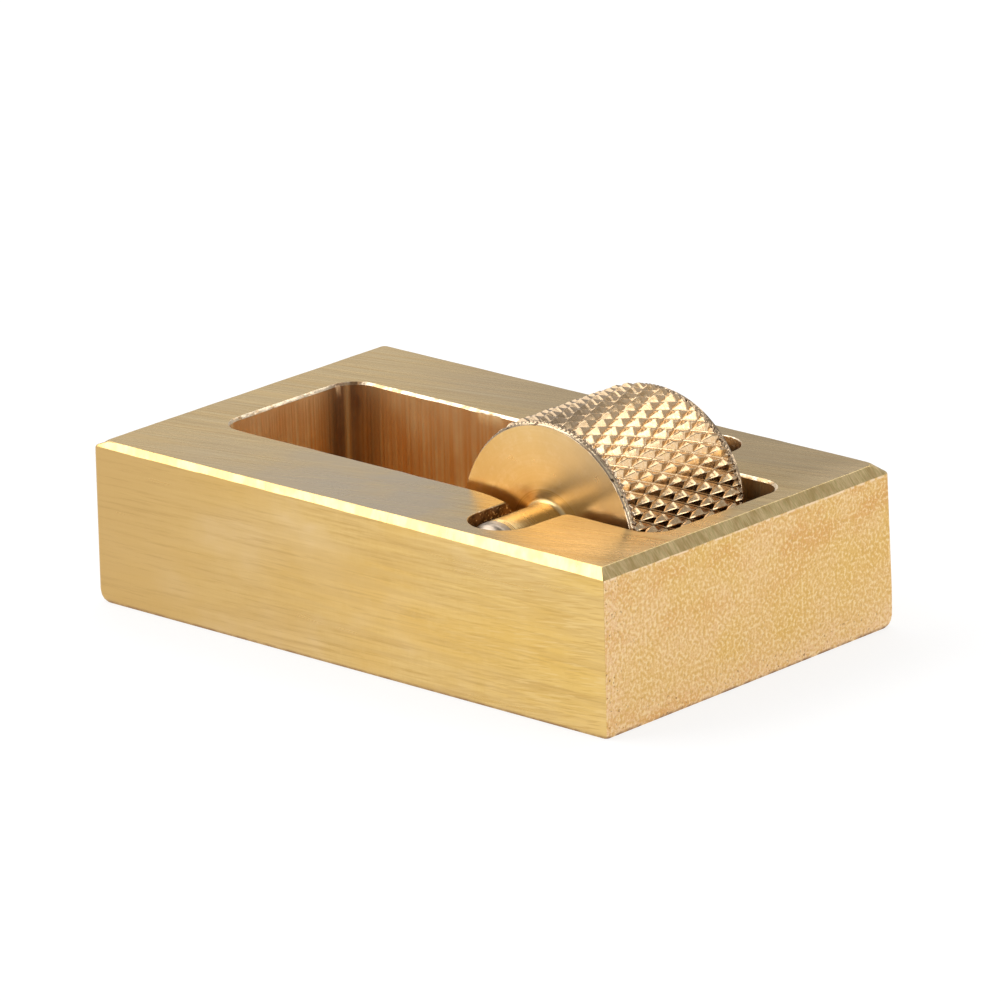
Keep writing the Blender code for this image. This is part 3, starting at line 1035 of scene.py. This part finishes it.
def brushed_side():
    """The long sides: brushed in fine streaks, clouded, scratched near the right end, with painted shading
    darker to the left and along the foot.
    """
    look = Look("brushed_side", 0.3, 0.4)
    look.brushed_along((1.0, 0.0, 0.0))
    fine = look.noise((0.12, 3.3, 3.3), 5.0, 0.72, look.turned("Y", 1.2))
    upright = look.noise((4.5, 4.5, 0.4), 2.0, 0.6, seed=8)
    broad = look.noise((0.05, 1.0, 1.0), 3.0, 0.6, seed=2)
    clouds = look.noise((0.1, 0.17, 0.17), 3.0, 0.6, seed=5)
    glow = look.noise((0.07, 0.12, 0.12), 2.0, 0.5, seed=11)
    mottle = look.noise(1.1, 3.0, 0.6, seed=6)
    scratches = look.noise((0.35, 7.0, 7.0), 1.0, 0.5, look.turned("Y", 7.0), seed=7)
    along, _, height = look.parts()
    look.colour = look.blend(look.spread(fine, 0.34, 0.66), BRASS_SIDE, BRASS_SIDE_PALE)
    look.tint(look.spread(upright, 0.5, 0.8, 0.0, 0.3), BRASS_SIDE)
    look.tint(look.spread(clouds, 0.45, 0.66, 0.0, 0.65), BRASS_CREAM)
    look.tint(look.spread(glow, 0.5, 0.32, 0.0, 0.7), BRASS_GOLD)
    look.tint(look.spread(mottle, 0.45, 0.7, 0.0, 0.3), BRASS_SIDE_PALE)
    # Painted shading: darker towards the left end and brighter towards the right
    look.tint(look.spread(along, -30.0, 8.0, 0.9, 0.05), BRASS_SIDE_LEFT)
    look.tint(look.spread(along, 8.0, 28.0, 0.0, 0.5), BRASS_SIDE_RIGHT)
    look.tint(look.spread(broad, 0.56, 0.4, 0.0, 0.35), BRASS_SIDE_LEFT)
    streaked = look.spread(along, -20.0, 10.0, 0.55, 0.35)
    look.tint(look.both(look.spread(fine, 0.47, 0.32), streaked), BRASS_SIDE_STREAK)
    near_end = look.spread(along, 6.0, 26.0)
    look.tint(look.both(near_end, look.spread(scratches, 0.6, 0.68, 0.0, 0.8)), BRASS_SIDE_PALE)
    look.tint(look.both(near_end, look.spread(scratches, 0.4, 0.33, 0.0, 0.6)), BRASS_DEEP)
    # Painted contact shade: darker along the foot, in mottled patches
    look.tint(look.both(look.spread(height, 0.35, 0.12), look.spread(mottle, 0.3, 0.6, 0.3, 0.9)), TARNISH_AND_FOOT_SHADE)
    roughness = look.spread(broad, 0.3, 0.7, 0.27, 0.36)
    normal = look.bump(fine, 0.0045 * MM)
    return look.finish(roughness, look.bump(scratches, 0.006 * MM, normal))


def sawn_end():
    """The ends: a fine granular crust, pink at the foot and near edge, rusty near the top, with painted
    contact shade along the very foot.
    """
    look = Look("sawn_end", 0.42)
    grains = look.noise(3.3, 2.0, 0.6)
    lumps = look.noise(1.2, 3.0, 0.6, seed=2)
    clouds = look.noise(0.16, 3.0, 0.6, seed=3)
    blotches = look.noise((0.2, 0.16, 0.3), 3.0, 0.65, seed=4)
    specks = look.noise(3.4, 1.0, 0.4, seed=5)
    across, height = look.parts()[1:3]
    foot = look.spread(height, 3.4, 0.3)
    near_edge = look.spread(across, -14.5, -18.4)
    border = look.number("MAXIMUM", foot, near_edge)
    look.colour = look.blend(look.spread(clouds, 0.35, 0.65, 0.1, 0.6), BRASS_GOLD, BRASS_PINK)
    look.tint(look.both(border, look.spread(lumps, 0.3, 0.6, 0.35, 0.9)), BRASS_PINK)
    upper = look.spread(height, 6.0, 12.0, 0.1, 1.0)
    look.tint(look.both(look.spread(blotches, 0.46, 0.62, 0.0, 0.85), upper), BRASS_STAIN)
    smudged = look.both(look.spread(blotches, 0.44, 0.56, 0.0, 0.8), look.spread(height, 2.4, 0.6))
    look.tint(look.both(smudged, look.spread(across, 6.0, -2.0)), BRASS_STAIN)
    look.tint(look.spread(grains, 0.48, 0.38, 0.0, 0.8), BRASS_GRAIN_DEEP)
    look.tint(look.spread(grains, 0.5, 0.62, 0.0, 0.85), BRASS_GRAIN_PALE)
    dotted = look.both(look.spread(specks, 0.69, 0.75, 0.0, 0.85), look.spread(border, 0.0, 1.0, 0.2, 1.0))
    look.tint(dotted, TARNISH_AND_FOOT_SHADE)
    burr = look.both(look.spread(height, 13.88, 14.0), look.spread(lumps, 0.44, 0.54))
    look.tint(burr, BRASS_ROSE_PALE)
    # Painted contact shade: a dark line along the very foot
    look.tint(look.both(look.spread(height, 0.35, 0.1), look.spread(lumps, 0.35, 0.6)), TARNISH_AND_FOOT_SHADE)
    roughness = look.spread(lumps, 0.3, 0.7, 0.38, 0.48)
    normal = look.bump(lumps, 0.02 * MM)
    return look.finish(roughness, look.bump(grains, 0.085 * MM, normal))


def filed_long_chamfer():
    """The long chamfers: slanting facets left by the file."""
    look = Look("filed_long_chamfer", 0.3)
    strokes = look.noise((1.5, 0.35, 0.35), 3.0, 0.65, look.turned("Y", 40.0))
    waves = look.noise((0.55, 0.25, 0.25), 2.0, 0.6, look.turned("Y", 40.0), seed=2)
    look.colour = look.blend(look.spread(strokes, 0.3, 0.7), BRASS, BRASS_PALE)
    look.tint(look.spread(waves, 0.52, 0.42, 0.0, 0.4), BRASS_DEEP)
    normal = look.bump(waves, 0.05 * MM)
    return look.finish(look.spread(strokes, 0.3, 0.7, 0.26, 0.36), look.bump(strokes, 0.012 * MM, normal))


def filed_end_chamfer():
    """The short chamfers: scratches straight across, and a greenish brass."""
    look = Look("filed_end_chamfer", 0.34)
    scratches = look.noise((0.9, 5.6, 0.9), 3.0, 0.7, look.turned("X", 8.0))
    facets = look.noise((0.5, 1.4, 0.5), 3.0, 0.65, seed=2)
    look.colour = look.blend(look.spread(scratches, 0.36, 0.6), BRASS_GREEN, BRASS_GRAIN_PALE)
    look.tint(look.spread(facets, 0.56, 0.38, 0.0, 0.4), BRASS_DEEP)
    normal = look.bump(facets, 0.02 * MM)
    return look.finish(look.spread(facets, 0.3, 0.7, 0.28, 0.4), look.bump(scratches, 0.022 * MM, normal))


def broken_rim():
    """The rim of the opening: an edge broken by hand in short facets, bright and dull, with painted shade
    at the far left corner.
    """
    look = Look("broken_rim", 0.34)
    facets = look.noise(0.9, 2.0, 0.6)
    grain = look.noise(4.0, 2.0, 0.5, seed=2)
    look.colour = look.blend(look.spread(facets, 0.38, 0.52), BRASS_RIM, BRASS_RIM_PALE)
    look.tint(look.spread(grain, 0.64, 0.76, 0.0, 0.5), BRASS_UMBER)
    # Painted shade: the rim darkens in the pocket's far left corner
    look.tint(look.both(far_corner_shade(look, CORNER_SHADE_REACH_ON_RIM), 0.85), SHADE_BROWN)
    normal = look.bump(facets, 0.13 * MM)
    return look.finish(look.spread(grain, 0.3, 0.7, 0.26, 0.42), look.bump(grain, 0.02 * MM, normal))


def far_corner_shade(look, reach):
    """Return the share of painted shade in the pocket's far left corner, in two upright bands.

    A lighter line, a painted reflection, parts the bands. The shade stands for dark reflections in the
    corner, and fades out at `reach` millimetres from that line.
    """
    along, across, _ = look.parts()
    full_along, full_across = SHADED_CORNER
    fade_along, fade_across = SHADED_CORNER_FADE
    in_length = look.spread(along, fade_along + reach, full_along)
    at_corner = look.both(in_length, look.spread(across, fade_across - reach, full_across))
    line = look.number("SUBTRACT", look.number("ADD", along, across), SHADED_CORNER_LIT_LINE)
    from_line = look.number("ABSOLUTE", line)
    banded = look.both(look.spread(from_line, 0.15, 0.55, 0.5, 1.0), look.spread(from_line, reach, 1.3))
    return look.both(at_corner, banded)


def milled_wall():
    """The pocket's walls: upright ribs left by the end mill, on orange brass, with painted light near the
    top and painted shade low down, beyond the wheel and in the far left corner.
    """
    look = Look("milled_wall", 0.44)
    ribs = look.noise((3.3, 3.3, 0.02), 0.0, 0.5)
    clouds = look.noise((0.35, 0.35, 0.2), 3.0, 0.6, seed=2)
    along, _, height = look.parts()
    look.colour = look.blend(look.spread(ribs, 0.32, 0.66), BRASS_WALL, BRASS_WALL_PALE)
    look.tint(look.spread(clouds, 0.6, 0.35, 0.0, 0.4), BRASS_WALL)
    # Painted light: paler near the top of the walls, most on the left wall
    head = look.both(look.spread(height, 10.0, 14.2), look.spread(along, -16.0, -25.0, 0.6, 0.8))
    look.tint(head, BRASS_WALL_LIT)
    # Painted shade and reflection: dark bands in the far left corner, parted by a lighter line
    wall_corner_shade = look.both(far_corner_shade(look, CORNER_SHADE_REACH_ON_WALL), look.spread(clouds, 0.3, 0.7, 0.75, 1.0))
    look.tint(wall_corner_shade, SHADE_BROWN)
    # Painted shade: darker on the walls beyond the wheel, fully so a little below the top
    shade_beyond_wheel = look.both(look.spread(along, 21.0, 23.5), look.spread(height, 14.4, 12.0, 0.35, 1.0))
    look.tint(shade_beyond_wheel, SHADE_BROWN)
    # Painted shade: darker and more orange towards the floor
    foot = look.spread(height, 6.0, 2.0, 0.0, 0.5)
    look.tint(foot, BRASS_DEEP_ORANGE)
    roughness = look.spread(clouds, 0.3, 0.7, 0.4, 0.5)
    return look.finish(roughness, look.bump(ribs, 0.045 * MM))


def slot_wall():
    """The slots' walls: dark brown painted shade, more orange in the far slot, with bright specks of swarf
    near the rim.
    """
    look = Look("slot_wall", 0.36)
    residue = look.noise(1.5, 3.0, 0.6)
    specks = look.noise(4.6, 2.0, 0.6, seed=2)
    across, height = look.parts()[1:3]
    # Painted shade: dark brown to near black in the narrow slots under the axle
    look.colour = look.blend(look.spread(residue, 0.35, 0.65), NICK_AND_SHADE_DARK, SHADE_BROWN)
    look.tint(look.spread(across, 6.0, 10.0, 0.0, 0.5), BRASS_DEEP_ORANGE)
    spotted = look.both(look.spread(specks, 0.6, 0.66, 0.0, 0.9), look.spread(height, 12.8, 14.4))
    look.tint(spotted, BRASS_ROSE_PALE)
    normal = look.bump(residue, 0.02 * MM)
    return look.finish(look.spread(residue, 0.3, 0.7, 0.32, 0.46), look.bump(specks, 0.02 * MM, normal))


def milled_floor():
    """The opening's floors: dull, with the cutter's sweeps, and painted shade beyond the wheel."""
    look = Look("milled_floor", 0.7)
    sweeps = look.noise((1.5, 3.0, 1.0), 3.0, 0.6)
    clouds = look.noise(0.3, 3.0, 0.6, seed=2)
    look.colour = look.blend(look.spread(sweeps, 0.3, 0.7), BRASS_ROSE, BRASS_PALE)
    look.tint(look.spread(clouds, 0.5, 0.7, 0.0, 0.4), BRASS_ROSE)
    # Painted shade: darker beyond the wheel
    look.tint(look.spread(look.parts()[0], 20.0, 24.0, 0.0, 0.8), SHADE_BROWN)
    return look.finish(look.spread(clouds, 0.3, 0.7, 0.62, 0.78), look.bump(sweeps, 0.02 * MM))


def rubbed_base():
    """The base: rubbed flat on abrasive, with a few deeper scratches."""
    look = Look("rubbed_base", 0.34, 0.4)
    look.brushed_along((1.0, 0.0, 0.0))
    fine = look.noise((0.1, 5.0, 5.0), 4.0, 0.7, look.turned("Z", -6.0))
    scratches = look.noise((0.2, 6.0, 6.0), 1.0, 0.5, look.turned("Z", 12.0), seed=3)
    clouds = look.noise(0.12, 3.0, 0.6, seed=4)
    look.colour = look.blend(look.spread(fine, 0.3, 0.72), BRASS_DEEP, BRASS_PALE)
    look.tint(look.spread(clouds, 0.4, 0.65, 0.0, 0.5), BRASS)
    look.tint(look.spread(scratches, 0.66, 0.72, 0.0, 0.6), BRASS_PALE)
    return look.finish(look.spread(clouds, 0.3, 0.7, 0.3, 0.4), look.bump(fine, 0.006 * MM))


def about_axle(look):
    """Return the place as (distance from the axle's line, distance along it, 0)."""
    from_axle = look.offset(AXLE_CENTRE / MM)
    radius = look.vector("LENGTH", look.vector("MULTIPLY", from_axle, (1.0, 0.0, 1.0)))
    return look.joined(radius, look.parts(from_axle)[1])


def turned_look(name, rings, roughness, depth, colours, anisotropy=0.0):
    """Turned brass on the axle: fine rings about it, `rings` of them to the millimetre."""
    look = Look(name, roughness, anisotropy)
    look.stretch_gloss((0.0, 1.0, 0.0))
    place = about_axle(look)
    lines = look.noise(rings, 3.0, 0.65, place)
    coarse = look.noise(rings * 0.25, 2.0, 0.5, place, seed=3)
    clouds = look.noise(0.35, 3.0, 0.55, seed=2)
    look.colour = look.blend(look.spread(lines, 0.25, 0.75), *colours)
    look.tint(look.spread(clouds, 0.35, 0.65, 0.0, 0.6), colours[0])
    wear = look.spread(coarse, 0.3, 0.7, roughness - 0.03, roughness + 0.04)
    return look.finish(wear, look.bump(lines, depth))


def turned_face():
    """The wheel's faces: faced smooth, with deeper rings about the hub, and painted shade greying them to
    the right of the axle.
    """
    look = Look("turned_face", 0.3, 0.55)
    from_axle = look.offset(AXLE_CENTRE / MM)
    look.stretch_gloss(look.vector("MULTIPLY", from_axle, (1.0, 0.0, 1.0)))
    place = about_axle(look)
    fine = look.noise(7.0, 3.0, 0.65, place)
    hub_rings = look.noise(3.4, 1.0, 0.5, place, seed=4)
    clouds = look.noise(0.35, 3.0, 0.55, seed=2)
    mottle = look.noise(1.8, 3.0, 0.6, seed=6)
    near_hub = look.spread(look.parts(place)[0], 4.9, 3.9)
    look.colour = look.blend(look.spread(fine, 0.1, 0.9), BRASS_TURNED, BRASS_TURNED_PALE)
    look.tint(look.spread(clouds, 0.35, 0.65, 0.0, 0.6), BRASS_TURNED)
    look.tint(look.spread(mottle, 0.5, 0.75, 0.0, 0.35), BRASS_CREAM)
    # Painted shade and reflection: greyer to the right of the axle
    rightward = look.spread(look.parts(from_axle)[0], -1.5, 6.5, 0.0, 0.75)
    look.tint(look.both(rightward, look.spread(clouds, 0.3, 0.7, 0.6, 1.0)), BRASS_GREY_FILM_AND_SHADE)
    look.tint(look.both(near_hub, look.spread(hub_rings, 0.45, 0.58, 0.0, 0.6)), BRASS_DEEP)
    normal = look.bump(fine, 0.001 * MM)
    normal = look.bump(look.both(near_hub, hub_rings), 0.012 * MM, normal)
    return look.finish(look.spread(clouds, 0.3, 0.7, 0.27, 0.34), normal)


def shaded_side(look):
    """Return the share of painted brown shade on the wheel, which lies on one side of it."""
    across = look.vector("DOT_PRODUCT", look.offset(AXLE_CENTRE / MM), (1.0, 0.4, 0.0))
    return look.spread(across, 2.2, -2.2, 0.0, 0.95)


def ringed_bevel():
    """The bevels beside the knurl: painted highlights and shade along the tool lines, nicked, and painted
    brown shade on one side and on the far bevel.
    """
    look = Look("ringed_bevel", 0.26)
    place = about_axle(look)
    lines = look.noise(3.6, 0.0, 0.5, place)
    breaks = look.noise(1.3, 3.0, 0.6, seed=2)
    nicks = look.noise(1.7, 1.0, 0.5, seed=5)
    # Painted highlights and shade: bright and dark bands along the tool lines
    look.colour = look.blend(look.spread(lines, 0.42, 0.52), BEVEL_LINE_SHADE, BEVEL_LINE_HIGHLIGHT)
    look.tint(look.spread(breaks, 0.56, 0.7, 0.0, 0.6), BRASS_ROSE)
    # Painted shade: brown on one side of the wheel and over the far bevel
    far_bevel = look.spread(look.parts(place)[1], -1.0, 1.0)
    look.tint(look.number("MAXIMUM", shaded_side(look), far_bevel), KNURL_SHADE)
    look.tint(look.spread(nicks, 0.66, 0.7, 0.0, 0.9), NICK_AND_SHADE_DARK)
    return look.finish(look.spread(lines, 0.35, 0.65, 0.3, 0.16), look.bump(lines, 0.06 * MM))


def knurled():
    """The knurl: bright rolled facets with fine lines and bruises, and painted brown shade on one side."""
    look = Look("knurled", 0.2)
    lines = look.noise(6.0, 2.0, 0.6, about_axle(look))
    bruises = look.noise(1.6, 3.0, 0.65, seed=2)
    from_axle = look.offset(AXLE_CENTRE / MM)
    # Painted shade: brown on one side of the wheel, mottled by the bruises
    film = look.both(shaded_side(look), look.spread(bruises, 0.25, 0.5, 0.6, 1.0))
    look.colour = look.blend(look.spread(lines, 0.3, 0.7), BRASS_ROSE, BRASS_ROSE_PALE)
    look.tint(look.spread(bruises, 0.6, 0.75, 0.0, 0.5), BRASS_GOLD)
    look.tint(film, KNURL_SHADE)
    torn = look.both(look.spread(look.parts(from_axle)[0], 6.0, 9.0), look.noise(1.6, 1.0, 0.5, seed=7))
    normal = look.bump(bruises, 0.015 * MM, look.bump(torn, 0.03 * MM))
    return look.finish(look.spread(bruises, 0.35, 0.7, 0.16, 0.3), look.bump(lines, 0.006 * MM, normal))


# ---------------------------------------------------------------- studio


def make_camera():
    """Look at the object along the given angles."""
    towards = direction(CAMERA_AZIMUTH, CAMERA_ELEVATION)
    data = bpy.data.cameras.new("camera")
    data.lens = CAMERA_LENS
    data.sensor_width = SENSOR_WIDTH
    data.clip_start = 0.05
    data.clip_end = 20.0
    camera = bpy.data.objects.new("camera", data)
    facing = towards.to_track_quat("Z", "Y").to_matrix().to_4x4()
    roll = Matrix.Rotation(math.radians(CAMERA_ROLL), 4, "Z")
    camera.matrix_world = Matrix.Translation(CAMERA_AIM + towards * CAMERA_DISTANCE) @ facing @ roll
    bpy.context.scene.collection.objects.link(camera)
    bpy.context.scene.camera = camera


def make_floor():
    """A plain pale floor."""
    data = bpy.data.meshes.new("studio_floor")
    half = 3.0
    level = -0.02 * MM
    corners = [(-half, -half, level), (half, -half, level), (half, half, level), (-half, half, level)]
    data.from_pydata(corners, [], [(0, 1, 2, 3)])
    material = bpy.data.materials.new("studio_floor")
    material.use_nodes = True
    shader = material.node_tree.nodes["Principled BSDF"]
    shader.inputs["Base Color"].default_value = (FLOOR_ALBEDO, FLOOR_ALBEDO, FLOOR_ALBEDO, 1.0)
    shader.inputs["Roughness"].default_value = 0.9
    shader.inputs["Specular IOR Level"].default_value = 0.0
    shader.inputs["Emission Color"].default_value = (1.0, 1.0, 1.0, 1.0)
    shader.inputs["Emission Strength"].default_value = FLOOR_GLOW
    data.materials.append(material)
    floor = bpy.data.objects.new("studio_floor", data)
    bpy.context.scene.collection.objects.link(floor)


def softbox(name, azimuth, elevation, distance, width, height, radiance):
    """Add a soft rectangular light, seen from the object at the given angles in degrees."""
    data = bpy.data.lights.new(name, "AREA")
    data.shape = "RECTANGLE"
    data.size = width
    data.size_y = height
    data.energy = radiance * math.pi * width * height
    light = bpy.data.objects.new(name, data)
    towards = direction(azimuth, elevation)
    light.location = towards * distance
    light.rotation_euler = towards.to_track_quat("Z", "Y").to_euler()
    light.visible_camera = False
    bpy.context.scene.collection.objects.link(light)


def make_world():
    """A grey studio, brighter at the horizon than overhead."""
    world = bpy.data.worlds.new("studio")
    bpy.context.scene.world = world
    world.use_nodes = True
    nodes = world.node_tree.nodes
    links = world.node_tree.links
    background = nodes["Background"]
    background.inputs["Color"].default_value = (1.0, 1.0, 1.0, 1.0)
    coordinates = nodes.new("ShaderNodeTexCoord")
    height = nodes.new("ShaderNodeSeparateXYZ")
    links.new(coordinates.outputs["Generated"], height.inputs[0])
    fall = nodes.new("ShaderNodeMapRange")
    fall.interpolation_type = "SMOOTHSTEP"
    fall.inputs["From Min"].default_value = 0.15
    fall.inputs["From Max"].default_value = 0.95
    fall.inputs["To Min"].default_value = HORIZON_RADIANCE
    fall.inputs["To Max"].default_value = OVERHEAD_RADIANCE
    links.new(height.outputs[2], fall.inputs["Value"])
    links.new(fall.outputs["Result"], background.inputs["Strength"])


def make_lights():
    """Light the object as in a tent: softboxes at its left, behind it and at its right."""
    make_world()
    softbox("key_high", -150, 47, 1.2, 1.1, 0.62, 3.0)
    softbox("key_low", -138, 21, 1.2, 1.1, 0.5, 1.35)
    softbox("back", 122, 57, 1.2, 1.25, 0.66, 1.65)
    softbox("right_high", 18, 42, 1.2, 0.5, 0.36, 1.5)
    softbox("right", 12, 19, 1.2, 0.62, 0.64, 2.05)
    softbox("left_card", 145, 17, 0.36, 0.16, 0.16, 0.25)


def set_colours():
    """Show colours as they are, without a film curve."""
    view = bpy.context.scene.view_settings
    view.view_transform = "Standard"
    view.look = "None"
    view.exposure = 0.0
    view.gamma = 1.0


def main():
    """Build the pieces, the studio and the camera."""
    make_camera()
    make_floor()
    make_lights()
    set_colours()
    make_tray_block([
        brushed_top(),
        brushed_side(),
        sawn_end(),
        filed_long_chamfer(),
        filed_end_chamfer(),
        broken_rim(),
        milled_wall(),
        slot_wall(),
        milled_floor(),
        rubbed_base(),
    ])
    make_roller([
        knurled(),
        ringed_bevel(),
        turned_face(),
        turned_look("turned_axle", 9.0, 0.26, 0.003 * MM, (BRASS_AXLE, BRASS_AXLE_PALE), 0.5),
        turned_look("turned_tip", 5.0, 0.3, 0.012 * MM, (SWARF_GREY, SWARF_PALE)),
    ])


main()
